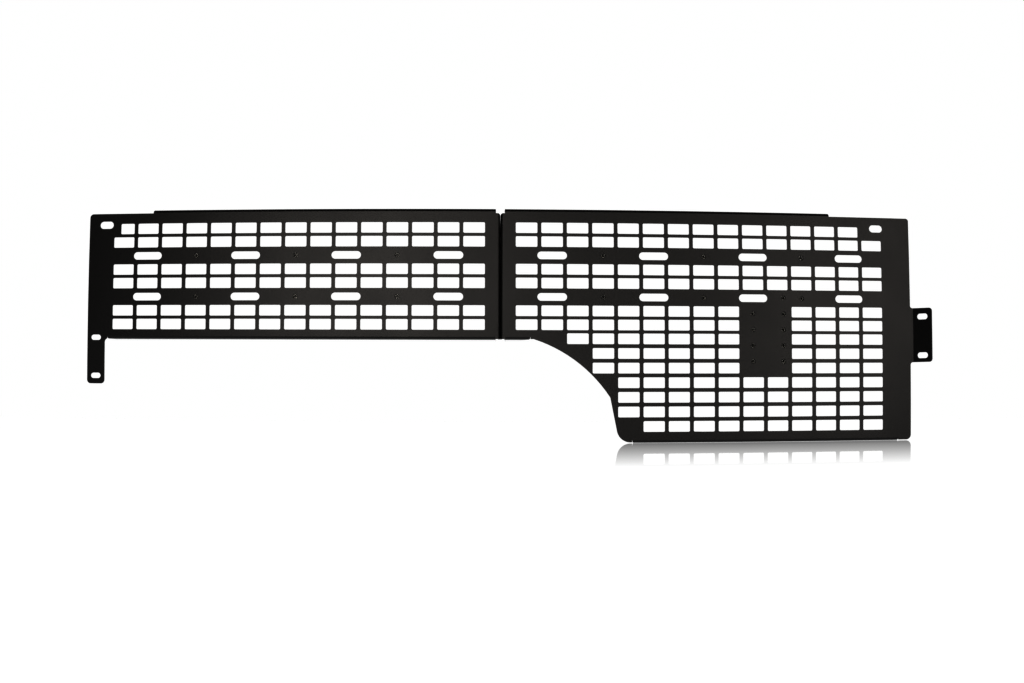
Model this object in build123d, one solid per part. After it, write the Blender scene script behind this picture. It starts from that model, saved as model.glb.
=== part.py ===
"""Truck bed side rack: two laser-cut steel grid panels bolted side by side at a flanged joint.

The frame: X runs along the rack, Z is up, and the face that carries accessories looks towards -Y.
The origin is midway between the two upper mounting slots, on the rear face of the sheet.
Sizes are millimetres. Places on a panel are given from the joint plane (across) and from the
datum row of windows (up), and at() turns them into the part's frame.
"""
from build123d import *
import os

# ---- sheet and bends ----
SHEET = 3.0                     # 11 gauge steel
BEND_INNER = 1.5
BEND_OUTER = BEND_INNER + SHEET
FLANGE_DEPTH = 25.4             # from the front face to the flange's free edge
FLANGE_CORNER = 3.0
BEND_RELIEF = 0.3               # kerf cut beside each bend that stops short of a corner
TONGUE = 4.0                    # sheet that each flange is drawn with, to fuse into the panel
END_TAPER = 2.1 / BEND_OUTER    # how far a long flange's end slopes in, per mm of depth
MITRE = 1.0                     # the joint flange's top end slopes at 45 degrees

# ---- origin ----
UPPER_SLOT_SPACING = 1378.0
JOINT_X = 12.0                  # joint plane, from midway between the upper slots
DATUM_Z = -79.5                 # centre of the datum row, from the upper slots

# ---- window grid ----
PITCH_X = 44.45
PITCH_Z = 24.1                  # rows down to and including row 8
LOWER_PITCH_Z = 25.4            # rows below row 8
WINDOW = (38.1, 19.05)
WINDOW_CORNER = 2.5
NARROW_WINDOW = (25.4, 19.05)   # beside the left panel's upper slot
LAST_COLUMN = 14
END_MARGIN = 45.55              # joint plane to the nearest column
DATUM_ROW = 3
LAST_UPPER_ROW = 8
BAND_ROWS = (2, 5)              # plain bands, which hold long slots and clinch nuts instead
BAND_SLOT_COLUMNS = (1, 5, 9, 13)
BAND_NUT_COLUMNS = (3, 7, 11)
BAND_SLOT = (52.0, 14.0)

# ---- outline heights, from the datum row ----
TOP_Z = 99.5                    # unflanged top edge
TOP_FLANGE_Z = 105.0            # outside of the top flange
JOINT_TOP_Z = 97.5              # top of the joint flange
BOTTOM_Z = -121.3
BOTTOM_FLANGE_Z = -122.0
TALL_BOTTOM_Z = -300.3          # bottom of the right panel's tall part
TALL_BOTTOM_FLANGE_Z = -301.0

# ---- joint ----
JOINT_GAP = 0.5                 # between the two joint flanges
JOINT_BEND_X = JOINT_GAP / 2 + BEND_OUTER
JOINT_CLEARANCE = 8.0           # top and bottom flanges stop this far from the joint plane
JOINT_BOLT_Y = 12.5
JOINT_BOLT_Z = (62.0, -13.0, -88.0)
JOINT_HOLE_DIA = 9.0
DRILL_LENGTH = 18.0             # long enough to cut through whatever it is centred on

# ---- left panel ----
LEFT_EDGE_X = -733.0
LEG_WIDTH = 32.0
LEG_BOTTOM_Z = -201.5
LEG_SLOT = (18.5, 10.0)
LEG_SLOT_Z = (-120.0, -187.5)
LEG_CORNER = 6.5
LEG_FILLET = 7.0
LEFT_TOP_FLANGE_X = -614.5      # outer end of the left panel's top flange
LEFT_BOTTOM_FLANGE_X = -696.0

# ---- right panel ----
RIGHT_EDGE_X = 740.5
RIGHT_TOP_FLANGE_X = 588.0
RIGHT_TOP_CORNER = 5.0
RIGHT_BOTTOM_CORNER = 9.0
ARCH_START = (58.0, -121.3)     # wheel-arch curve, from the short bottom edge
ARCH_MIDDLE = (132.5, -160.0)
ARCH_END = (191.0, -222.5)
ARCH_FOOT_X = 206.6             # where the straight below the arch would meet the bottom edge
ARCH_FOOT_RADIUS = 24.0
SHORT_FLANGE_END_X = 52.0
TALL_FLANGE_X = (229.0, 716.0)

# ---- end tab ----
TAB_Z = (-161.0, -63.7)
TAB_LEDGE = 5.0                 # flat sheet between the panel's edge and the tab's bend
TAB_ANGLE = 40.0                # bent towards the front
TAB_LENGTH = 37.0               # flat part beyond the bend
TAB_CORNER = 5.5
TAB_ROOT_FILLET = 4.9
TAB_SLOT = (22.0, 11.0)
TAB_SLOT_REACH = 18.0           # from the end of the bend to the slots' centres
TAB_SLOT_Z = (-79.0, -149.0)

# ---- mounting slots ----
UPPER_SLOT = (25.4, 13.5)
UPPER_SLOT_X = (-UPPER_SLOT_SPACING / 2 - JOINT_X, UPPER_SLOT_SPACING / 2 - JOINT_X)
UPPER_SLOT_Z = -DATUM_Z

# ---- plate for a carrier, on the right panel ----
PLATE_ROWS = range(6, 11)
PLATE_COLUMNS = (9, 10)
PLATE_NUT_X = (444.7, 500.7)
PLATE_NUT_PITCH = 28.0
PLATE_NUT_ROWS = 4
PLATE_NUT_TOP_Z = -75.5

# ---- M6 clinch nuts, closed at the rear ----
NUT_SHANK_DIA = 8.0
NUT_SHANK_LENGTH = 1.4          # short of the front face, so the thread mouth is recessed
NUT_BODY_DIA = 11.0
NUT_BODY_HEIGHT = 9.0
NUT_BORE_DIA = 5.0
NUT_BORE_END = 7.5              # behind the sheet's rear face
NUT_LEAD_IN = 0.6
NUT_BODY_CHAMFER = 0.4

# ---- M8 joint fasteners ----
BOLT_DIA = 8.0
BOLT_LENGTH = 20.0
HEX_ACROSS_FLATS = 13.0
HEX_CORNER = HEX_ACROSS_FLATS / 3 ** 0.5        # from the axis to a corner
BOLT_HEAD_HEIGHT = 5.3
WASHER_DIA = 16.0
WASHER_BORE_DIA = 8.4
WASHER_THICKNESS = 1.6
LOCK_NUT_HEIGHT = 8.0
LOCK_NUT_HEX_HEIGHT = 5.6
LOCK_NUT_COLLAR_DIA = 11.5
NYLON_RING_DIA = 10.2
NYLON_RING_Z = (5.4, 7.2)       # where the lock nut's groove begins and ends
SHANK_IN_HEAD = 1.0             # how far the shank is drawn into the head, to fuse with it
HEX_CHAMFER = 0.7
TIP_CHAMFER = 0.8


def at(across, up):
    """A place on the panels, from the joint plane and the datum row, in the part's frame."""
    return (JOINT_X + across, DATUM_Z + up)


def row_up(row):
    """Height of a row of windows above the datum row."""
    if row <= LAST_UPPER_ROW:
        return (DATUM_ROW - row) * PITCH_Z
    return row_up(LAST_UPPER_ROW) - (row - LAST_UPPER_ROW) * LOWER_PITCH_Z


def left_column(column):
    return -END_MARGIN - (LAST_COLUMN - column) * PITCH_X


def right_column(column):
    return END_MARGIN + column * PITCH_X


# ---------------------------------------------------------------- flat shapes
def window(across, row, size=WINDOW):
    return Pos(*at(across, row_up(row))) * RectangleRounded(*size, WINDOW_CORNER)


def slot(across, up, size):
    return Pos(*at(across, up)) * SlotOverall(*size)


def round_hole(across, up, diameter):
    return Pos(*at(across, up)) * Circle(diameter / 2)


def band_cuts(column_x):
    """Long slots and clinch-nut holes of the two plain bands."""
    cuts = []
    for row in BAND_ROWS:
        cuts += [slot(column_x(c), row_up(row), BAND_SLOT) for c in BAND_SLOT_COLUMNS]
        cuts += [round_hole(column_x(c), row_up(row), NUT_SHANK_DIA) for c in BAND_NUT_COLUMNS]
    return cuts


def left_windows():
    cuts = []
    for row in (0, 1, 3, 4, 6, 7):
        first = 1 if row == 0 else 0
        cuts += [window(left_column(c), row) for c in range(first, LAST_COLUMN + 1)]
    aligned_right = left_column(0) + (WINDOW[0] - NARROW_WINDOW[0]) / 2
    cuts.append(window(aligned_right, 0, NARROW_WINDOW))
    return cuts


def right_windows():
    cut_by_arch = {8: 2, 9: 3, 10: 3, 11: 4, 12: 4, 13: 4, 14: 5}
    cuts = []
    for row in range(15):
        if row in BAND_ROWS:
            continue
        last = LAST_COLUMN - 1 if row == 0 else LAST_COLUMN
        for column in range(cut_by_arch.get(row, 0), last + 1):
            if row in PLATE_ROWS and column in PLATE_COLUMNS:
                continue
            cuts.append(window(right_column(column), row))
    return cuts


def plate_nut_places():
    """The carrier plate's 2 by 4 grid, and one more nut above its right column, in the band."""
    grid = [(x, PLATE_NUT_TOP_Z - n * PLATE_NUT_PITCH)
            for n in range(PLATE_NUT_ROWS) for x in PLATE_NUT_X]
    return grid + [(PLATE_NUT_X[1], PLATE_NUT_TOP_Z + PLATE_NUT_PITCH)]


def sheet(outline_wires, cuts):
    """A flat sheet with its rear face on Y = 0, from an outline and a list of holes."""
    blank = make_face(outline_wires)
    return extrude(Plane.XZ * (blank - cuts), SHEET)


# ---------------------------------------------------------------- bends and flanges
def flange(start, along, outward, length, slope_start=0.0, slope_end=0.0):
    """A flange bent 90 degrees to the rear along the line that begins at start.

    Its local X runs along the bend, Y is depth, and Z is outward from the panel. Each slope
    is how far that end moves in per mm of depth.
    """
    rear = FLANGE_DEPTH - SHEET
    section = make_face([
        Line((0, 0), (0, -TONGUE)),
        Line((0, -TONGUE), (-SHEET, -TONGUE)),
        Line((-SHEET, -TONGUE), (-SHEET, 0)),
        CenterArc((BEND_INNER, 0), BEND_OUTER, 180, -90),
        Line((BEND_INNER, BEND_OUTER), (rear, BEND_OUTER)),
        Line((rear, BEND_OUTER), (rear, BEND_INNER)),
        Line((rear, BEND_INNER), (BEND_INNER, BEND_INNER)),
        CenterArc((BEND_INNER, 0), BEND_INNER, 90, 90),
    ])
    bar = extrude(Plane.YZ * section, length)
    plan = FilletPolyline(
        (0, -SHEET),
        (slope_start * FLANGE_DEPTH, rear),
        (length - slope_end * FLANGE_DEPTH, rear),
        (length, -SHEET),
        close=True,
        radius=(0, FLANGE_CORNER, FLANGE_CORNER, 0),
    )
    blank = extrude(Pos(0, 0, -TONGUE) * make_face(plan), TONGUE + BEND_OUTER)
    place = Plane(origin=start, x_dir=along, z_dir=outward).location
    return place * (bar & blank)


def cut_and_bend(panel, x_range, bend_up, outer_up, slope_start=0.0, slope_end=0.0):
    """Trims the panel beyond a horizontal bend line and adds that line's flange."""
    low, high = x_range
    upwards = outer_up > bend_up
    reach = abs(outer_up - bend_up) + SHEET
    middle_up = bend_up + (reach / 2 if upwards else -reach / 2)
    x, z = at((low + high) / 2, middle_up)
    trim = Pos(x, -SHEET / 2, z) * Box(high - low + 2 * BEND_RELIEF, 2 * SHEET, reach)
    if upwards:
        x, z = at(low, bend_up)
        bent = flange((x, 0, z), (1, 0, 0), (0, 0, 1), high - low, slope_start, slope_end)
    else:
        x, z = at(high, bend_up)
        bent = flange((x, 0, z), (-1, 0, 0), (0, 0, -1), high - low, slope_start, slope_end)
    return panel - trim + bent


def joint_flange(side):
    """The flange along the joint: side is -1 on the left panel and 1 on the right."""
    length = JOINT_TOP_Z - BOTTOM_Z
    if side < 0:
        x, z = at(-JOINT_BEND_X, JOINT_TOP_Z)
        return flange((x, 0, z), (0, 0, -1), (1, 0, 0), length, slope_start=MITRE)
    x, z = at(JOINT_BEND_X, BOTTOM_Z)
    return flange((x, 0, z), (0, 0, 1), (-1, 0, 0), length, slope_end=MITRE)


def joint_holes(panel):
    for up in JOINT_BOLT_Z:
        x, z = at(0, up)
        panel -= Pos(x, JOINT_BOLT_Y, z) * Rot(0, 90, 0) * Cylinder(JOINT_HOLE_DIA / 2, DRILL_LENGTH)
    return panel


def end_tab():
    """The slotted tab, bent towards the front beyond the right panel's edge."""
    low, high = TAB_Z
    height = high - low
    bend_x, middle_z = at(RIGHT_EDGE_X + TAB_LEDGE, (low + high) / 2)
    bend_axis = Pos(bend_x, -SHEET - BEND_INNER, middle_z)
    ring = Circle(BEND_OUTER) - Circle(BEND_INNER)
    beyond = 2 * BEND_OUTER
    sector = ring & make_face([
        Line((0, 0), (0, beyond)),
        CenterArc((0, 0), beyond, 90, -TAB_ANGLE),
        Line(Vector(beyond, 0).rotate(Axis.Z, 90 - TAB_ANGLE), (0, 0)),
    ])
    bend = extrude(Pos(0, 0, -height / 2) * sector, height)
    flat = RectangleRounded(TAB_LENGTH * 2, height, TAB_CORNER)
    flat &= Pos(TAB_LENGTH / 2, 0) * Rectangle(TAB_LENGTH, height)
    for up in TAB_SLOT_Z:
        flat -= Pos(TAB_SLOT_REACH, up - (low + high) / 2) * SlotOverall(*TAB_SLOT)
    plate = Pos(0, BEND_OUTER, 0) * extrude(Plane.XZ * flat, SHEET)
    return bend_axis * (bend + Rot(0, 0, -TAB_ANGLE) * plate)


# ---------------------------------------------------------------- the two panels
def make_left_panel():
    leg_inner = LEFT_EDGE_X + LEG_WIDTH
    outline = FilletPolyline(
        at(LEFT_EDGE_X, TOP_Z),
        at(LEFT_EDGE_X, LEG_BOTTOM_Z),
        at(leg_inner, LEG_BOTTOM_Z),
        at(leg_inner, BOTTOM_Z),
        at(-JOINT_BEND_X, BOTTOM_Z),
        at(-JOINT_BEND_X, JOINT_TOP_Z),
        at(-JOINT_CLEARANCE, JOINT_TOP_Z),
        at(-JOINT_CLEARANCE, TOP_Z),
        close=True,
        radius=(LEG_CORNER, LEG_CORNER, LEG_CORNER, LEG_FILLET, 0, 0, 0, 0),
    )
    leg_middle = LEFT_EDGE_X + LEG_WIDTH / 2
    cuts = left_windows() + band_cuts(left_column)
    cuts += [slot(leg_middle, up, LEG_SLOT) for up in LEG_SLOT_Z]
    cuts.append(slot(UPPER_SLOT_X[0], UPPER_SLOT_Z, UPPER_SLOT))
    panel = sheet(outline, cuts)
    panel = cut_and_bend(panel, (LEFT_TOP_FLANGE_X, -JOINT_CLEARANCE), TOP_FLANGE_Z - BEND_OUTER,
                         TOP_FLANGE_Z, slope_start=END_TAPER)
    panel = cut_and_bend(panel, (LEFT_BOTTOM_FLANGE_X, -JOINT_CLEARANCE), BOTTOM_FLANGE_Z + BEND_OUTER,
                         BOTTOM_FLANGE_Z, slope_end=END_TAPER)
    return joint_holes(panel + joint_flange(-1))


def make_right_panel():
    tab_x = RIGHT_EDGE_X + TAB_LEDGE
    edge = FilletPolyline(
        at(*ARCH_END),
        at(ARCH_FOOT_X, TALL_BOTTOM_Z),
        at(RIGHT_EDGE_X, TALL_BOTTOM_Z),
        at(RIGHT_EDGE_X, TAB_Z[0]),
        at(tab_x, TAB_Z[0]),
        at(tab_x, TAB_Z[1]),
        at(RIGHT_EDGE_X, TAB_Z[1]),
        at(RIGHT_EDGE_X, TOP_Z),
        at(JOINT_CLEARANCE, TOP_Z),
        at(JOINT_CLEARANCE, JOINT_TOP_Z),
        at(JOINT_BEND_X, JOINT_TOP_Z),
        at(JOINT_BEND_X, BOTTOM_Z),
        at(*ARCH_START),
        radius=(ARCH_FOOT_RADIUS, RIGHT_BOTTOM_CORNER, TAB_ROOT_FILLET, 0, 0, TAB_ROOT_FILLET,
                RIGHT_TOP_CORNER, 0, 0, 0, 0),
    )
    arch = ThreePointArc(at(*ARCH_START), at(*ARCH_MIDDLE), at(*ARCH_END))
    cuts = right_windows() + band_cuts(right_column)
    cuts += [round_hole(x, up, NUT_SHANK_DIA) for x, up in plate_nut_places()]
    cuts.append(slot(UPPER_SLOT_X[1], UPPER_SLOT_Z, UPPER_SLOT))
    panel = sheet([edge, arch], cuts)
    panel = cut_and_bend(panel, (JOINT_CLEARANCE, RIGHT_TOP_FLANGE_X), TOP_FLANGE_Z - BEND_OUTER,
                         TOP_FLANGE_Z, slope_end=END_TAPER)
    panel = cut_and_bend(panel, (JOINT_CLEARANCE, SHORT_FLANGE_END_X), BOTTOM_FLANGE_Z + BEND_OUTER,
                         BOTTOM_FLANGE_Z, slope_start=END_TAPER)
    panel = cut_and_bend(panel, TALL_FLANGE_X, TALL_BOTTOM_FLANGE_Z + BEND_OUTER,
                         TALL_BOTTOM_FLANGE_Z, slope_start=END_TAPER, slope_end=END_TAPER)
    return joint_holes(panel + joint_flange(1) + end_tab())


# ---------------------------------------------------------------- fasteners
def turned(points):
    """A solid of revolution about local Z, from (radius, height) points."""
    return revolve(Plane.XZ * make_face(Polyline(*points, close=True)), Axis.Z)


def clinch_nut():
    """A closed-end nut. Local +Z points out of the rear face; the shank sits in the sheet's hole."""
    shank, body, bore = NUT_SHANK_DIA / 2, NUT_BODY_DIA / 2, NUT_BORE_DIA / 2
    return turned([
        (0, NUT_BORE_END),
        (bore, NUT_BORE_END),
        (bore, NUT_LEAD_IN - NUT_SHANK_LENGTH),
        (bore + NUT_LEAD_IN, -NUT_SHANK_LENGTH),
        (shank, -NUT_SHANK_LENGTH),
        (shank, 0),
        (body, 0),
        (body, NUT_BODY_HEIGHT - NUT_BODY_CHAMFER),
        (body - NUT_BODY_CHAMFER, NUT_BODY_HEIGHT),
        (0, NUT_BODY_HEIGHT),
    ])


def hexagon_bar(height):
    """A hexagon along local Z from 0, its top corners turned down by a chamfer."""
    outside = HEX_CORNER + HEX_CHAMFER
    return extrude(RegularPolygon(HEX_CORNER, 6), height) & turned([
        (0, 0),
        (outside, 0),
        (outside, height - HEX_CHAMFER),
        (HEX_ACROSS_FLATS / 2 - HEX_CHAMFER / 2, height),
        (0, height),
    ])


def bolt():
    """Head above local Z = 0, shank below it."""
    shank = BOLT_DIA / 2
    return hexagon_bar(BOLT_HEAD_HEIGHT) + turned([
        (0, SHANK_IN_HEAD),
        (shank, SHANK_IN_HEAD),
        (shank, TIP_CHAMFER - BOLT_LENGTH),
        (shank - TIP_CHAMFER, -BOLT_LENGTH),
        (0, -BOLT_LENGTH),
    ])


def washer():
    ring = Circle(WASHER_DIA / 2) - Circle(WASHER_BORE_DIA / 2)
    return extrude(ring, WASHER_THICKNESS)


def nylon_ring():
    """The ring that grips the bolt's thread, in its place along the lock nut's local Z."""
    low, high = NYLON_RING_Z
    ring = Circle(NYLON_RING_DIA / 2) - Circle(BOLT_DIA / 2)
    return Pos(0, 0, low) * extrude(ring, high - low)


def lock_nut():
    """A hexagon with the round collar that holds its nylon ring, along local Z from 0."""
    collar = LOCK_NUT_COLLAR_DIA / 2
    body = hexagon_bar(LOCK_NUT_HEX_HEIGHT) + turned([
        (0, 0),
        (collar, 0),
        (collar, LOCK_NUT_HEIGHT - HEX_CHAMFER),
        (collar - HEX_CHAMFER, LOCK_NUT_HEIGHT),
        (0, LOCK_NUT_HEIGHT),
    ])
    return body - Cylinder(BOLT_DIA / 2, DRILL_LENGTH) - nylon_ring()


def joint_fasteners(number, up):
    """One bolt, two washers, a lock nut and its nylon ring through the joint flanges at a height."""
    x, z = at(0, up)
    stack = JOINT_GAP / 2 + SHEET
    towards_left = Pos(x, JOINT_BOLT_Y, z) * Rot(0, -90, 0)
    towards_right = Pos(x, JOINT_BOLT_Y, z) * Rot(0, 90, 0)
    seat = Pos(0, 0, stack + WASHER_THICKNESS)
    return {
        f"joint_bolt_{number}": towards_left * seat * bolt(),
        f"joint_washer_left_{number}": towards_left * Pos(0, 0, stack) * washer(),
        f"joint_washer_right_{number}": towards_right * Pos(0, 0, stack) * washer(),
        f"joint_lock_nut_{number}": towards_right * seat * lock_nut(),
        f"joint_nut_nylon_ring_{number}": towards_right * seat * nylon_ring(),
    }


def nut_at(across, up):
    x, z = at(across, up)
    return Pos(x, 0, z) * Rot(-90, 0, 0) * clinch_nut()


def clinch_nuts():
    nuts = {}
    for panel_name, column_x in (("left_panel", left_column), ("right_panel", right_column)):
        for band_name, row in zip(("upper", "lower"), BAND_ROWS):
            for number, column in enumerate(BAND_NUT_COLUMNS, start=1):
                name = f"{panel_name}_{band_name}_clinch_nut_{number}"
                nuts[name] = nut_at(column_x(column), row_up(row))
    for number, place in enumerate(plate_nut_places(), start=1):
        nuts[f"carrier_plate_clinch_nut_{number}"] = nut_at(*place)
    return nuts


def main():
    parts = {"left_panel": make_left_panel(), "right_panel": make_right_panel()}
    for number, up in enumerate(JOINT_BOLT_Z, start=1):
        parts.update(joint_fasteners(number, up))
    parts.update(clinch_nuts())
    os.makedirs("parts", exist_ok=True)
    for name, shape in parts.items():
        solids = shape.solids()
        if len(solids) != 1:
            raise ValueError(f"{name} has {len(solids)} solids")
        export_step(solids[0], f"parts/{name}.step")
    print(len(parts), "nodes")


main()
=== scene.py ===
# %% [markdown]
# A storage rack for the side of a pickup bed. On the real object two sheets of steel are laser cut
# into grids, their edges are folded back into flanges, small threaded nuts are pressed into them,
# and the lot is powder coated satin black. Three bolts then join the two sheets at a folded seam.
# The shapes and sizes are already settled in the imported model, so this lesson loads that model
# first and works out every place from it. It adds only what a drawing leaves out: broken edges,
# threads, chamfers, finishes and light.

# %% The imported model
import math
import bmesh
import bpy
from mathutils import Matrix, Vector


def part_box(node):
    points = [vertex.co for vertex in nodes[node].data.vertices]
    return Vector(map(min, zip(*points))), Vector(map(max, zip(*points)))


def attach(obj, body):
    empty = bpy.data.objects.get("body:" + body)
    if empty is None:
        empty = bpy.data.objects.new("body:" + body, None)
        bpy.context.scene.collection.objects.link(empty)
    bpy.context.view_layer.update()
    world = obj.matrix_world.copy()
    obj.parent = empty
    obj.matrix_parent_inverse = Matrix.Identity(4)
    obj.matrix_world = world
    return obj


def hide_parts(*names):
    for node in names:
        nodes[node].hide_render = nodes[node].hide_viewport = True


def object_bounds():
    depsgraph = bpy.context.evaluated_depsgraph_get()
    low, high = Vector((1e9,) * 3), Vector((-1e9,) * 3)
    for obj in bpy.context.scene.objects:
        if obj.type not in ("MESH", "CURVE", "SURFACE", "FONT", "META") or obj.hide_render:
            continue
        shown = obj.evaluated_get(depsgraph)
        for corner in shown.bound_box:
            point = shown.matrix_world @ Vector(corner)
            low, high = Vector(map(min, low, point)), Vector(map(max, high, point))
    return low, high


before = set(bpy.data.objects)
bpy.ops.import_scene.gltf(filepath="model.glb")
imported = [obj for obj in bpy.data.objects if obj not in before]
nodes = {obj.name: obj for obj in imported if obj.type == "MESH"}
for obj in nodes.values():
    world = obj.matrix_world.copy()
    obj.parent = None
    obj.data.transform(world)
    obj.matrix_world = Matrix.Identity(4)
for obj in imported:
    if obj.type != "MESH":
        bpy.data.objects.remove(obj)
cad_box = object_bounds()
print("nodes:", len(nodes), "box:", [[round(v, 4) for v in corner] for corner in cad_box])

# %% [markdown]
# The camera comes next, because it settles which details are seen. A long, flat part like this is
# best seen from a few metres away with a moderately long lens, so that the grid's lines stay
# almost parallel. The camera stands low, near the height of the tall sheet's bottom edge, and looks
# up a little. The frame's origin is midway between the upper mounting slots, so the camera's place
# is given from there. A real zoom lens also bends straight lines near the frame's ends inwards a
# few percent, which is called barrel distortion. Blender's ordinary camera can't do that, but its
# panoramic one takes a formula: the angle from the axis is a polynomial of the distance on the
# sensor. The arctangent's first two terms, with a little added to the second, make such a lens.

# %% Camera
MM = 0.001
CAMERA_PLACE = Vector((-87.9, -2757.0, -340.0)) * MM
LOOKS_UP = math.radians(2.80)
LOOKS_RIGHT = math.radians(2.499)
LEANS = math.radians(-0.03)
LENS = 56.25                    # focal length, in millimetres
BARREL = 0.545                  # how much a lens of this kind bends lines, and 0 for none

camera_data = bpy.data.cameras.new("studio_camera")
camera_data.sensor_width = 36.0
camera_data.sensor_height = 24.0
camera_data.lens = LENS
camera_data.type = "PANO"
camera_data.panorama_type = "FISHEYE_LENS_POLYNOMIAL"
camera_data.fisheye_fov = math.radians(80)
camera_data.fisheye_polynomial_k0 = 0.0
camera_data.fisheye_polynomial_k1 = -1 / LENS
camera_data.fisheye_polynomial_k2 = 0.0
camera_data.fisheye_polynomial_k3 = -(BARREL - 1 / 3) / LENS ** 3
camera_data.fisheye_polynomial_k4 = 0.0
camera = bpy.data.objects.new("studio_camera", camera_data)
camera.location = CAMERA_PLACE
camera.rotation_euler = (math.pi / 2 + LOOKS_UP, LEANS, -LOOKS_RIGHT)
bpy.context.collection.objects.link(camera)
bpy.context.scene.camera = camera
print("camera distance to the sheet:", round(-CAMERA_PLACE.y, 3), "m")

# %% [markdown]
# Nodes are wired by hand in Blender's shader editor. In a script the same work needs three small
# helpers: one that adds a node with its settings, one that adds a Math node, and one that opens a
# new node group with named inputs and outputs. A group puts out only values, colours and heights,
# and each material keeps its own shader.

# %% Helpers for nodes
def add(tree, kind, links=None, **settings):
    """Adds a node. links maps an input's name or number to a socket or to a plain value."""
    node = tree.nodes.new(kind)
    for name, value in settings.items():
        setattr(node, name, value)
    for name, source in (links or {}).items():
        if isinstance(source, bpy.types.NodeSocket):
            tree.links.new(source, node.inputs[name])
        else:
            node.inputs[name].default_value = source
    return node


def calculate(tree, operation, *values):
    """One Math node, as a socket."""
    return add(tree, "ShaderNodeMath", dict(enumerate(values)), operation=operation).outputs[0]


def rescale(tree, value, low, high):
    """A value from 0 to 1, spread between low and high."""
    links = {"Value": value, "To Min": low, "To Max": high}
    return add(tree, "ShaderNodeMapRange", links).outputs["Result"]


def blend_colours(tree, share, first, second):
    """The first colour where the share is 0, and the second where it is 1."""
    node = add(tree, "ShaderNodeMix", data_type="RGBA")
    for number, source in ((0, share), (6, first), (7, second)):
        if isinstance(source, bpy.types.NodeSocket):
            tree.links.new(source, node.inputs[number])
        else:
            node.inputs[number].default_value = source
    return node.outputs[2]


def open_group(name, inputs, outputs):
    """A new node group. inputs are (name, kind, value) and outputs are (name, kind)."""
    group = bpy.data.node_groups.new(name, "ShaderNodeTree")
    for label, kind, value in inputs:
        socket = group.interface.new_socket(label, in_out="INPUT", socket_type="NodeSocket" + kind)
        if value is not None:
            socket.default_value = value
    for label, kind in outputs:
        group.interface.new_socket(label, in_out="OUTPUT", socket_type="NodeSocket" + kind)
    return group, group.nodes.new("NodeGroupInput").outputs, group.nodes.new("NodeGroupOutput").inputs


def use_group(tree, group, links):
    """A copy of a node group in a material, as its outputs."""
    node = add(tree, "ShaderNodeGroup", node_tree=group)
    for name, source in links.items():
        if isinstance(source, bpy.types.NodeSocket):
            tree.links.new(source, node.inputs[name])
        else:
            node.inputs[name].default_value = source
    return node.outputs


def open_material(name):
    """A new material, its node tree and its Principled shader."""
    material = bpy.data.materials.new(name)
    material.use_nodes = True
    return material, material.node_tree, material.node_tree.nodes["Principled BSDF"]


# %% [markdown]
# The studio is a white sweep: a pale floor that runs into a white wall behind the rack, with the
# room in front kept dark. A black satin coat shows almost nothing but what it mirrors, so the grey
# of the sheets comes from the soft boxes near the camera, and the dark ends come from the dark room
# beside them. The world's brightness could be one flat value, but then the sheets would mirror
# white everywhere. Here it depends on the direction: white behind the rack, dim in front of it.
# The picture's gamma is lowered a good deal, because thin black bars against white would look
# too thin otherwise: a bar that covers half of a dot then comes out as mid grey, not light grey.

# %% The white sweep behind and the dark room in front
WALL_BRIGHTNESS = 1.0
ROOM_BRIGHTNESS = 0.02
WALL_BEGINS = 0.0
WALL_IS_FULL = 0.45
PICTURE_GAMMA = 0.55

scene = bpy.context.scene
scene.view_settings.view_transform = "Standard"
scene.view_settings.gamma = PICTURE_GAMMA
world = bpy.data.worlds.new("studio")
world.use_nodes = True
scene.world = world
sky = world.node_tree
direction = add(sky, "ShaderNodeTexCoord").outputs["Generated"]
rearward = add(sky, "ShaderNodeSeparateXYZ", {0: direction}).outputs["Y"]
wall = add(sky, "ShaderNodeMapRange", {
    "Value": rearward, "From Min": WALL_BEGINS, "From Max": WALL_IS_FULL,
    "To Min": ROOM_BRIGHTNESS, "To Max": WALL_BRIGHTNESS,
}).outputs["Result"]
seen_by_camera = add(sky, "ShaderNodeLightPath").outputs["Is Camera Ray"]
sky_brightness = calculate(sky, "MAXIMUM", wall, seen_by_camera)
sky.links.new(sky_brightness, sky.nodes["Background"].inputs["Strength"])
sky.nodes["Background"].inputs["Color"].default_value = (1, 1, 1, 1)
print("room brightness:", ROOM_BRIGHTNESS, "wall brightness:", WALL_BRIGHTNESS)

# %% [markdown]
# Three soft boxes stand beside and behind the camera, and a fourth lights the rear side. A flat
# sheet mirrors a box halfway between the box and the camera, so each box's place along the rack
# sets where the sheets are palest: the wide main box a little left of the seam, the right one near
# the tab, and a weak strip between them keeps the middle from going dark. The coat is satin, so
# the boxes' edges melt into a slow gradient. One large box would light both ends evenly.

# %% Soft boxes
SOFT_BOXES = {
    # name: (place, width, height, radiance), in metres from the frame's origin
    "main_soft_box": ((-0.36, -2.9, -0.10), 0.9, 1.6, 5.8),
    "middle_strip": ((0.50, -2.9, -0.10), 0.5, 1.6, 1.8),
    "right_soft_box": ((1.42, -2.9, -0.10), 0.9, 1.6, 4.8),
    "rear_soft_box": ((0.3, 2.4, 0.9), 2.4, 1.2, 0.6),
}
LAMP_COLOUR = (1.0, 0.95, 0.90)
aim = Vector((0, 0, -0.1))
for name, (place, width, height, radiance) in SOFT_BOXES.items():
    lamp = bpy.data.lights.new(name, "AREA")
    lamp.shape = "RECTANGLE"
    lamp.size = width
    lamp.size_y = height
    lamp.energy = radiance * math.pi * width * height
    lamp.color = LAMP_COLOUR
    box = bpy.data.objects.new(name, lamp)
    box.location = place
    box.rotation_euler = (aim - Vector(place)).to_track_quat("-Z", "Y").to_euler()
    box.visible_camera = False
    bpy.context.collection.objects.link(box)
    print(name, round(lamp.energy, 2), "W")

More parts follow.
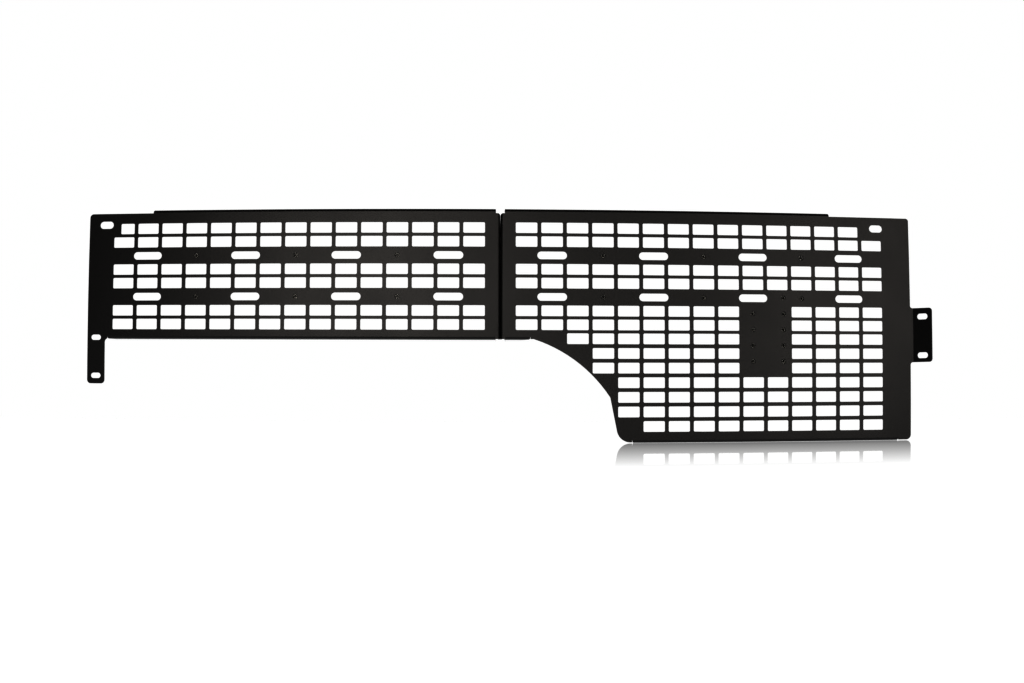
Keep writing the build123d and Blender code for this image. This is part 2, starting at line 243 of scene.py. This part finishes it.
# %% [markdown]
# The floor is a white gloss board just under the tall sheet. A real board burns out to pure white
# under this much light. Here it glows by itself, which gives the same even white without stronger
# lamps. Its gloss mirrors the tall sheet's lowest part. The mirrored height grows as the floor
# comes nearer to the camera, in step with one over the distance, so that is what the gloss fades
# with, from the rack forwards. Only the camera sees the gloss: the sheets are lit by plain white.

# %% Floor
FLOOR_GAP = 0.3 * MM            # the rack hangs from its slots, just clear of the board
FLOOR_SIZE = 60.0
FLOOR_GREY = 0.06
FLOOR_GLOW = 1.0
GLOSS_MOST = 0.68
GLOSS_REACH = 1.42              # how far in front of the rack the gloss fades out

floor_height = cad_box[0][2] - FLOOR_GAP
bpy.ops.mesh.primitive_plane_add(size=FLOOR_SIZE, location=(0, 0, floor_height))
floor = bpy.context.object
floor.name = "floor_board"
board, board_tree, board_shader = open_material("white_board")
board_shader.inputs["Base Color"].default_value = (FLOOR_GREY, FLOOR_GREY, FLOOR_GREY, 1)
board_shader.inputs["Roughness"].default_value = 0.9
board_shader.inputs["Specular IOR Level"].default_value = 0.0
board_shader.inputs["Emission Color"].default_value = (1, 1, 1, 1)
board_shader.inputs["Emission Strength"].default_value = FLOOR_GLOW
place = add(board_tree, "ShaderNodeNewGeometry").outputs["Position"]
rearward = add(board_tree, "ShaderNodeSeparateXYZ", {0: place}).outputs["Y"]
from_camera = calculate(board_tree, "SUBTRACT", rearward, CAMERA_PLACE.y)
nearness = calculate(board_tree, "DIVIDE", 1.0, from_camera)
rack_distance = -CAMERA_PLACE.y
gloss_share = add(board_tree, "ShaderNodeMapRange", {
    "Value": nearness, "From Min": 1 / (rack_distance - GLOSS_REACH), "From Max": 1 / rack_distance,
    "To Min": 0.0, "To Max": GLOSS_MOST,
}).outputs["Result"]
seen_by_camera = add(board_tree, "ShaderNodeLightPath").outputs["Is Camera Ray"]
gloss_share = calculate(board_tree, "MULTIPLY", gloss_share, seen_by_camera)
gloss = add(board_tree, "ShaderNodeBsdfGlossy", {"Color": (1, 1, 1, 1), "Roughness": 0.01})
layers = add(board_tree, "ShaderNodeMixShader",
             {0: gloss_share, 1: board_shader.outputs[0], 2: gloss.outputs[0]})
board_tree.links.new(layers.outputs[0], board_tree.nodes["Material Output"].inputs["Surface"])
floor.data.materials.append(board)
print("floor height:", round(floor_height, 4))

# %% [markdown]
# Powder coat is sprayed as dry dust and melted in an oven. It flows into a skin about a tenth of a
# millimetre thick, with a gentle orange peel a millimetre or two across, a finer grain in the
# satin, and slow changes of shade where more or less powder landed. All of that could be painted
# on as textures, but patterns worked out from noise have no seams and fit any size of part. They
# are two groups: one puts out the height of the skin, the other its shade and its roughness.

# %% Where a pattern starts
def place_on_rack(tree):
    """A point's place in the rack's frame, also on small parts that share one mesh."""
    own = add(tree, "ShaderNodeTexCoord").outputs["Object"]
    origin = add(tree, "ShaderNodeObjectInfo").outputs["Location"]
    return add(tree, "ShaderNodeVectorMath", {0: own, 1: origin}, operation="ADD").outputs[0]


# %% Orange peel
orange_peel, given, result = open_group(
    "orange_peel",
    [("Place", "Vector", None), ("Ripples Per Metre", "Float", 600.0), ("Grain", "Float", 0.3)],
    [("Height", "Float")])
ripple = add(orange_peel, "ShaderNodeTexNoise",
             {"Vector": given["Place"], "Scale": given["Ripples Per Metre"], "Detail": 2.0})
finer = calculate(orange_peel, "MULTIPLY", given["Ripples Per Metre"], 5.3)
grain = add(orange_peel, "ShaderNodeTexNoise",
            {"Vector": given["Place"], "Scale": finer, "Detail": 1.0})
grain_height = calculate(orange_peel, "MULTIPLY", grain.outputs["Fac"], given["Grain"])
height = calculate(orange_peel, "ADD", ripple.outputs["Fac"], grain_height)
orange_peel.links.new(height, result["Height"])
print("orange peel group:", len(orange_peel.nodes), "nodes")

# %% Shade and roughness of the coat
coat_shade, given, result = open_group(
    "coat_shade",
    [("Place", "Vector", None), ("Thin Colour", "Color", None), ("Thick Colour", "Color", None),
     ("Clouds Per Metre", "Float", 9.0), ("Smoothest", "Float", 0.3), ("Roughest", "Float", 0.4)],
    [("Colour", "Color"), ("Roughness", "Float")])
clouds = add(coat_shade, "ShaderNodeTexNoise",
             {"Vector": given["Place"], "Scale": given["Clouds Per Metre"], "Detail": 3.0})
finer = calculate(coat_shade, "MULTIPLY", given["Clouds Per Metre"], 70.0)
specks = add(coat_shade, "ShaderNodeTexNoise", {"Vector": given["Place"], "Scale": finer, "Detail": 2.0})
specks_share = calculate(coat_shade, "MULTIPLY", specks.outputs["Fac"], 0.35)
clouds_share = calculate(coat_shade, "MULTIPLY", clouds.outputs["Fac"], 0.65)
thickness = calculate(coat_shade, "ADD", clouds_share, specks_share)
contrast = add(coat_shade, "ShaderNodeMapRange",
               {"Value": thickness, "From Min": 0.35, "From Max": 0.65}).outputs["Result"]
shade = blend_colours(coat_shade, contrast, given["Thin Colour"], given["Thick Colour"])
coat_shade.links.new(shade, result["Colour"])
roughness = rescale(coat_shade, contrast, given["Smoothest"], given["Roughest"])
coat_shade.links.new(roughness, result["Roughness"])
print("coat shade group:", len(coat_shade.nodes), "nodes")

# %% [markdown]
# The same coat lies thinner on sharp edges, because the melted powder pulls back from them: there
# it is a touch smoother and lets a little warm grey through. So one function makes both coats, and
# a bevel will put the thin one on the edges only.

# %% The two coats
def powder_coat(name, thin_colour, thick_colour, smoothest, roughest, peel_height):
    """A coat whose colour and roughness drift between two values, with an orange peel."""
    material, tree, shader = open_material(name)
    place = place_on_rack(tree)
    shade = use_group(tree, coat_shade, {
        "Place": place, "Thin Colour": (*thin_colour, 1), "Thick Colour": (*thick_colour, 1),
        "Smoothest": smoothest, "Roughest": roughest})
    peel = use_group(tree, orange_peel, {"Place": place})
    bump = add(tree, "ShaderNodeBump", {"Height": peel["Height"], "Distance": peel_height, "Strength": 1.0})
    tree.links.new(shade["Colour"], shader.inputs["Base Color"])
    tree.links.new(shade["Roughness"], shader.inputs["Roughness"])
    tree.links.new(bump.outputs["Normal"], shader.inputs["Normal"])
    shader.inputs["Specular IOR Level"].default_value = 0.5
    return material


satin_black = powder_coat("satin_black_powder", (0.0066, 0.0060, 0.0054), (0.0048, 0.0044, 0.0040),
                          0.30, 0.34, 0.012 * MM)
edge_black = powder_coat("thin_black_powder_on_edges", (0.018, 0.017, 0.0165), (0.013, 0.0125, 0.012),
                         0.26, 0.32, 0.006 * MM)
print("coats:", satin_black.name, edge_black.name)

# %% [markdown]
# A laser leaves crisp corners, and sanding before the coat breaks them by about a third of a
# millimetre. Those narrow rounded strips catch the light and outline every window. They could be
# drawn in the model, at the cost of thousands of small faces, or faked in shading. Here modifiers
# make them as real geometry: Weld closes the imported mesh, a planar Decimate merges its flat
# triangles back into whole faces, and Bevel rounds the corners left between them. Bevel can also
# give its new strips the second material, which is how the thin coat lands on the edges.

# %% Broken edges on the two sheets
EDGE_RADIUS = 0.35 * MM
WELD_DISTANCE = 0.002 * MM
FLATTER_THAN = 0.5              # degrees, between the triangles of one flat face
SHARPER_THAN = 40               # degrees, at an edge that gets broken


def break_edges(sheet, radius, sharper_than, edge_material_index):
    weld = sheet.modifiers.new("close_mesh", "WELD")
    weld.merge_threshold = WELD_DISTANCE
    flats = sheet.modifiers.new("merge_flat_faces", "DECIMATE")
    flats.decimate_type = "DISSOLVE"
    flats.angle_limit = math.radians(FLATTER_THAN)
    bevel = sheet.modifiers.new("broken_edges", "BEVEL")
    bevel.width = radius
    bevel.segments = 2
    bevel.limit_method = "ANGLE"
    bevel.angle_limit = math.radians(sharper_than)
    bevel.use_clamp_overlap = False
    bevel.material = edge_material_index
    normals = sheet.modifiers.new("flat_faces_stay_flat", "WEIGHTED_NORMAL")
    normals.keep_sharp = False


def count_faces(piece):
    evaluated = piece.evaluated_get(bpy.context.evaluated_depsgraph_get())
    return len(evaluated.data.polygons)


for name in ("left_panel", "right_panel"):
    sheet = nodes[name]
    sheet.data.materials.clear()
    sheet.data.materials.append(satin_black)
    sheet.data.materials.append(edge_black)
    break_edges(sheet, EDGE_RADIUS, SHARPER_THAN, 1)
    print(name, "faces:", count_faces(sheet))

# %% [markdown]
# The fasteners come next. All of them are turned or rolled parts, so each is built as a stack of
# rings along its own axis. A ring's radius may depend on the angle: a constant gives a turned
# surface, a hexagon gives wrench flats, the smaller of hexagon and cone gives the curved corners
# of a real bolt head, and a ramp that climbs as it goes round gives a thread. Revolving an outline
# with the Screw modifier would make the turned shapes too, but not the hexagons.

# %% Stacked rings
def stack_rings(name, rings, segments, tube=False):
    """A closed mesh from (height, radius) rings, in order along the outline.

    A radius is a number or a function of the angle. A tube's last ring joins its first, and any
    other stack is closed by a flat cap at each end.
    """
    shape = bmesh.new()
    loops = []
    for height, radius in rings:
        loop = []
        for step in range(segments):
            angle = math.tau * step / segments
            reach = radius(angle) if callable(radius) else radius
            loop.append(shape.verts.new((reach * math.cos(angle), reach * math.sin(angle), height)))
        loops.append(loop)
    following = loops[1:] + loops[:1] if tube else loops[1:]
    for near, far in zip(loops, following):
        for step in range(segments):
            after = (step + 1) % segments
            shape.faces.new((near[step], near[after], far[after], far[step]))
    if not tube:
        shape.faces.new(loops[0])
        shape.faces.new(loops[-1])
    bmesh.ops.recalc_face_normals(shape, faces=shape.faces)
    mesh = bpy.data.meshes.new(name)
    shape.to_mesh(mesh)
    shape.free()
    mesh.shade_smooth()
    mesh.set_sharp_from_angle(angle=math.radians(28))
    return mesh


def thread(height, pitch, crest, root):
    """The radius of a rolled thread at one height, as a function of the angle."""
    def radius(angle):
        turn = (height / pitch - angle / math.tau) % 1.0
        ramp = min(1.0, max(0.0, (abs(turn - 0.5) * 2 - 0.12) / 0.76))
        return crest + (root - crest) * ramp
    return radius


def evenly(low, high, count):
    return [low + (high - low) * step / count for step in range(count + 1)]


# %% A helper that puts a fastener in its node's place
def place_fastener(name, mesh, node, origin, turn, material):
    piece = bpy.data.objects.new(name, mesh)
    bpy.context.collection.objects.link(piece)
    piece.matrix_world = Matrix.Translation(origin) @ turn
    if not mesh.materials:
        mesh.materials.append(material)
    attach(piece, "root")
    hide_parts(node)
    return piece


def middle(node):
    low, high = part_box(node)
    return (low + high) / 2


POINTS_REARWARD = Matrix.Rotation(-math.pi / 2, 4, "X")
POINTS_LEFT = Matrix.Rotation(-math.pi / 2, 4, "Y")
POINTS_RIGHT = Matrix.Rotation(math.pi / 2, 4, "Y")

# %% [markdown]
# Bolts, washers and lock nuts are zinc plated in a barrel. The plating is a bright bluish grey that
# dulls in patches, with fine rings left by the turning tool under it. One group makes the patches
# and the rings, and each part uses its own amounts.

# %% Zinc plating
zinc_plate, given, result = open_group(
    "zinc_plate",
    [("Place", "Vector", None), ("Rings Per Metre", "Float", 4000.0), ("Bright", "Color", None),
     ("Dull", "Color", None), ("Smoothest", "Float", 0.2), ("Roughest", "Float", 0.4)],
    [("Colour", "Color"), ("Roughness", "Float"), ("Height", "Float")])
patches = add(zinc_plate, "ShaderNodeTexNoise", {"Vector": given["Place"], "Scale": 420.0, "Detail": 4.0})
dulled = add(zinc_plate, "ShaderNodeMapRange",
             {"Value": patches.outputs["Fac"], "From Min": 0.35, "From Max": 0.7}).outputs["Result"]
axes = add(zinc_plate, "ShaderNodeSeparateXYZ", {0: given["Place"]}).outputs
across = calculate(zinc_plate, "MULTIPLY", axes["X"], axes["X"])
along = calculate(zinc_plate, "MULTIPLY", axes["Y"], axes["Y"])
from_axis = calculate(zinc_plate, "SQRT", calculate(zinc_plate, "ADD", across, along))
turns = calculate(zinc_plate, "MULTIPLY", from_axis, given["Rings Per Metre"])
rings_height = calculate(zinc_plate, "SINE", calculate(zinc_plate, "MULTIPLY", turns, math.tau))
dust = add(zinc_plate, "ShaderNodeTexNoise", {"Vector": given["Place"], "Scale": 5200.0, "Detail": 2.0})
rings_share = calculate(zinc_plate, "MULTIPLY", rings_height, 0.25)
height = calculate(zinc_plate, "ADD", rings_share, dust.outputs["Fac"])
plate_colour = blend_colours(zinc_plate, dulled, given["Bright"], given["Dull"])
zinc_plate.links.new(plate_colour, result["Colour"])
roughness = rescale(zinc_plate, dulled, given["Smoothest"], given["Roughest"])
zinc_plate.links.new(roughness, result["Roughness"])
zinc_plate.links.new(height, result["Height"])


def zinc(name, bright, dull, smoothest, roughest, depth):
    """A plated finish. depth is how far its rings and dust stand out."""
    material, tree, shader = open_material(name)
    own_place = add(tree, "ShaderNodeTexCoord").outputs["Object"]
    plating = use_group(tree, zinc_plate, {
        "Place": own_place, "Bright": (*bright, 1), "Dull": (*dull, 1),
        "Smoothest": smoothest, "Roughest": roughest})
    bump = add(tree, "ShaderNodeBump", {"Height": plating["Height"], "Distance": depth, "Strength": 1.0})
    tree.links.new(plating["Colour"], shader.inputs["Base Color"])
    tree.links.new(plating["Roughness"], shader.inputs["Roughness"])
    tree.links.new(bump.outputs["Normal"], shader.inputs["Normal"])
    shader.inputs["Metallic"].default_value = 1.0
    return material


bolt_zinc = zinc("zinc_on_rolled_steel", (0.62, 0.63, 0.65), (0.44, 0.45, 0.48), 0.22, 0.42, 0.004 * MM)
washer_zinc = zinc("zinc_on_stamped_steel", (0.68, 0.69, 0.70), (0.50, 0.51, 0.52), 0.28, 0.48, 0.006 * MM)
thread_zinc = zinc("zinc_in_tapped_hole", (0.70, 0.70, 0.68), (0.52, 0.51, 0.48), 0.20, 0.36, 0.003 * MM)
print("zinc finishes:", bolt_zinc.name, washer_zinc.name, thread_zinc.name)

# %% [markdown]
# Clinch nuts are the small round nuts pressed into the sheet from behind. The press squeezes sheet
# metal into a groove under the nut's body, so only a smooth round body shows at the back and a
# recessed ring at the front. The body is closed at the rear, which keeps spray out and makes the
# hole dark. They go through the powder coat with plugs in their threads. So a nut is two pieces
# here: a coated body, and a bare zinc thread that catches a little light in the dark hole.

# %% Coated body of a clinch nut
NUT_SHANK = 3.98 * MM
NUT_SHANK_DEPTH = 1.4 * MM
NUT_BODY = 5.5 * MM
NUT_HEIGHT = 9.0 * MM
NUT_DRILLED = 7.5 * MM
NUT_ROUNDING = 0.4 * MM
THREAD_HOLE = 3.08 * MM         # the coat stops here and the bare thread begins
NUT_SEGMENTS = 64


def rounded_corner(radius, height, rounding, steps):
    """Rings of a rounded outer corner that turns from the side of a body onto its end."""
    rings = []
    for step in range(steps + 1):
        turn = math.pi / 2 * step / steps
        rings.append((height - rounding + rounding * math.sin(turn),
                      radius - rounding + rounding * math.cos(turn)))
    return rings


nut_body = stack_rings("clinch_nut_body", [
    (NUT_DRILLED, THREAD_HOLE),
    (-NUT_SHANK_DEPTH + 0.35 * MM, THREAD_HOLE),
    (-NUT_SHANK_DEPTH, THREAD_HOLE + 0.30 * MM),
    (-NUT_SHANK_DEPTH, NUT_SHANK - 0.12 * MM),
    (-NUT_SHANK_DEPTH + 0.12 * MM, NUT_SHANK),
    (0.0, NUT_SHANK),
    (0.0, NUT_BODY - 0.35 * MM),
    (0.12 * MM, NUT_BODY - 0.1 * MM),
    (0.35 * MM, NUT_BODY),
    *rounded_corner(NUT_BODY, NUT_HEIGHT, NUT_ROUNDING, 4),
], NUT_SEGMENTS)
nut_coat = powder_coat("satin_black_powder_on_nuts", (0.0106, 0.0102, 0.0100), (0.0078, 0.0075, 0.0073),
                       0.30, 0.36, 0.008 * MM)
print("nut body faces:", len(nut_body.polygons))

# %% Bare thread of a clinch nut
M6_PITCH = 1.0 * MM
M6_CREST = 2.5 * MM
M6_ROOT = 2.98 * MM
THREAD_LOW = -NUT_SHANK_DEPTH + 0.25 * MM
THREAD_HIGH = NUT_DRILLED
THREAD_ROWS = 84


def lead_in(height, radius):
    """Opens a thread's mouth into a short cone."""
    cone = THREAD_HOLE - 0.02 * MM - (height - THREAD_LOW)
    return lambda angle: max(cone, radius(angle))


thread_rings = [(z, lead_in(z, thread(z, M6_PITCH, M6_CREST, M6_ROOT)))
                for z in evenly(THREAD_LOW, THREAD_HIGH, THREAD_ROWS)]
nut_thread = stack_rings(
    "clinch_nut_thread",
    [*thread_rings, (THREAD_HIGH, THREAD_HOLE), (THREAD_LOW, THREAD_HOLE)],
    NUT_SEGMENTS, tube=True)
print("nut thread faces:", len(nut_thread.polygons))

# %% Every clinch nut in its node's place
clinch_nuts = sorted(name for name in nodes if "clinch_nut" in name)
for name in clinch_nuts:
    seat = middle(name)
    seat.y = 0.0
    place_fastener(name + "_body", nut_body, name, seat, POINTS_REARWARD, nut_coat)
    place_fastener(name + "_thread", nut_thread, name, seat, POINTS_REARWARD, thread_zinc)
print("clinch nuts:", len(clinch_nuts))

# %% [markdown]
# The seam's bolts are M8 hexagon bolts. The head is forged: its corners are turned down to a cone,
# and a thin round face under it bears on the washer. The hexagon's radius is its half width
# divided by the cosine of the angle from the nearest flat's middle, and taking the smaller of that
# and the cone's radius leaves the curved corners that a real head has.

# %% Bolt
WRENCH_SIZE = 13.0 * MM
HEAD_HEIGHT = 5.3 * MM
BOLT_LENGTH = 20.0 * MM
BOLT_CREST = 3.94 * MM
BOLT_ROOT = 3.32 * MM
M8_PITCH = 1.25 * MM
BOLT_SEGMENTS = 72
CONE_SLOPE = math.tan(math.radians(30))


def hexagon(limit):
    """Wrench flats, cut back to a circle of radius limit at the corners."""
    def radius(angle):
        from_flat = (angle + math.pi / 6) % (math.pi / 3) - math.pi / 6
        return min(WRENCH_SIZE / 2 / math.cos(from_flat), limit)
    return radius


def turned_corners(low, high, towards_high):
    """Rings of a hexagon whose corners are turned down to a cone at its low or high end."""
    circle = WRENCH_SIZE / 2 * 0.96
    corner = WRENCH_SIZE / math.sqrt(3)
    cone_height = (corner - circle) * CONE_SLOPE
    levels = evenly(0, cone_height, 6)
    if towards_high:
        rings = [(high - depth, hexagon(circle + depth / CONE_SLOPE)) for depth in reversed(levels)]
        return [(low, hexagon(corner)), *rings]
    rings = [(low + depth, hexagon(circle + depth / CONE_SLOPE)) for depth in levels]
    return [*rings, (high, hexagon(corner))]


def thread_end(height, radius):
    """Cuts a thread down to a cone at the bolt's tip."""
    cone = BOLT_ROOT - 0.3 * MM + (height + BOLT_LENGTH)
    return lambda angle: min(cone, radius(angle))


BEARING_FACE = 0.4 * MM
shank_rows = evenly(-BOLT_LENGTH, 0.0, 160)
bolt_mesh = stack_rings("joint_bolt", [
    *((z, thread_end(z, thread(z, M8_PITCH, BOLT_CREST, BOLT_ROOT))) for z in shank_rows),
    (0.0, 5.8 * MM),
    (BEARING_FACE, 5.8 * MM),
    *turned_corners(BEARING_FACE, HEAD_HEIGHT, True),
    (HEAD_HEIGHT, 5.2 * MM),
    (HEAD_HEIGHT - 0.25 * MM, 4.8 * MM),
], BOLT_SEGMENTS)
joint_bolts = sorted(name for name in nodes if name.startswith("joint_bolt"))
for name in joint_bolts:
    seat = middle(name)
    seat.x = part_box(name)[0].x + HEAD_HEIGHT
    place_fastener(name + "_rolled", bolt_mesh, name, seat, POINTS_LEFT, bolt_zinc)
print("joint bolts:", len(joint_bolts), "faces each:", len(bolt_mesh.polygons))

# %% [markdown]
# A lock nut is a hexagon nut with a round collar rolled over at the top. The collar holds a nylon
# ring a little too small for the bolt, so the bolt has to cut its own thread through it and can't
# shake loose. The nut and the ring are two pieces.

# %% Lock nut and its nylon ring
NUT_TOP = 8.0 * MM
HEX_TOP = 5.6 * MM
COLLAR = 5.75 * MM
NUT_BORE = 4.02 * MM
RING_LOW = 5.4 * MM
RING_HIGH = 7.2 * MM
RING_OUTER = 5.1 * MM
RING_INNER = 3.86 * MM

lock_nut_mesh = stack_rings("joint_lock_nut", [
    (0.0, NUT_BORE + 0.5 * MM),
    (0.0, 5.9 * MM),
    (0.2 * MM, 6.1 * MM),
    *turned_corners(0.2 * MM, HEX_TOP, False),
    (HEX_TOP, hexagon(6.4 * MM)),
    (HEX_TOP + 0.15 * MM, COLLAR),
    *rounded_corner(COLLAR, NUT_TOP, 0.9 * MM, 5),
    (NUT_TOP, 4.75 * MM),
    (NUT_TOP - 0.25 * MM, 4.6 * MM),
    (RING_HIGH + 0.05 * MM, 4.6 * MM),
    (RING_HIGH, RING_OUTER),
    (RING_LOW, RING_OUTER),
    (RING_LOW, NUT_BORE),
    (0.5 * MM, NUT_BORE),
], BOLT_SEGMENTS, tube=True)
nylon_ring_mesh = stack_rings("nylon_ring", [
    (RING_LOW + 0.02 * MM, RING_INNER),
    (RING_LOW + 0.02 * MM, RING_OUTER - 0.02 * MM),
    (RING_HIGH - 0.02 * MM, RING_OUTER - 0.02 * MM),
    *rounded_corner(4.58 * MM, RING_HIGH + 0.35 * MM, 0.2 * MM, 3),
    *reversed([(RING_HIGH + 0.35 * MM - z, RING_INNER + 0.2 * MM - z) for z in evenly(0, 0.2 * MM, 2)]),
], BOLT_SEGMENTS, tube=True)

nylon, nylon_tree, nylon_shader = open_material("blue_nylon")
nylon_place = add(nylon_tree, "ShaderNodeTexCoord").outputs["Object"]
nylon_skin = use_group(nylon_tree, coat_shade, {
    "Place": nylon_place, "Thin Colour": (0.05, 0.16, 0.36, 1), "Thick Colour": (0.03, 0.11, 0.28, 1),
    "Clouds Per Metre": 300.0, "Smoothest": 0.38, "Roughest": 0.52})
nylon_tree.links.new(nylon_skin["Colour"], nylon_shader.inputs["Base Color"])
nylon_tree.links.new(nylon_skin["Roughness"], nylon_shader.inputs["Roughness"])
nylon_shader.inputs["Subsurface Weight"].default_value = 0.15
nylon_shader.inputs["Subsurface Radius"].default_value = (0.0004, 0.0006, 0.001)

for name in sorted(name for name in nodes if name.startswith("joint_lock_nut")):
    seat = middle(name)
    seat.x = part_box(name)[0].x
    place_fastener(name + "_turned", lock_nut_mesh, name, seat, POINTS_RIGHT, bolt_zinc)
    ring = name.replace("lock_nut", "nut_nylon_ring")
    place_fastener(ring + "_moulded", nylon_ring_mesh, ring, seat, POINTS_RIGHT, nylon)
print("lock nut faces:", len(lock_nut_mesh.polygons))

# %% [markdown]
# Washers are stamped from strip. The punch rolls one edge over and leaves the other crisp. Their
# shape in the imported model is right, so they only get broken edges and the plating.

# %% Washers
WASHER_EDGE = 0.18 * MM
for name in sorted(name for name in nodes if "washer" in name):
    washer = nodes[name]
    washer.data.materials.clear()
    washer.data.materials.append(washer_zinc)
    break_edges(washer, WASHER_EDGE, SHARPER_THAN, 0)
    print(name, "faces:", count_faces(washer))
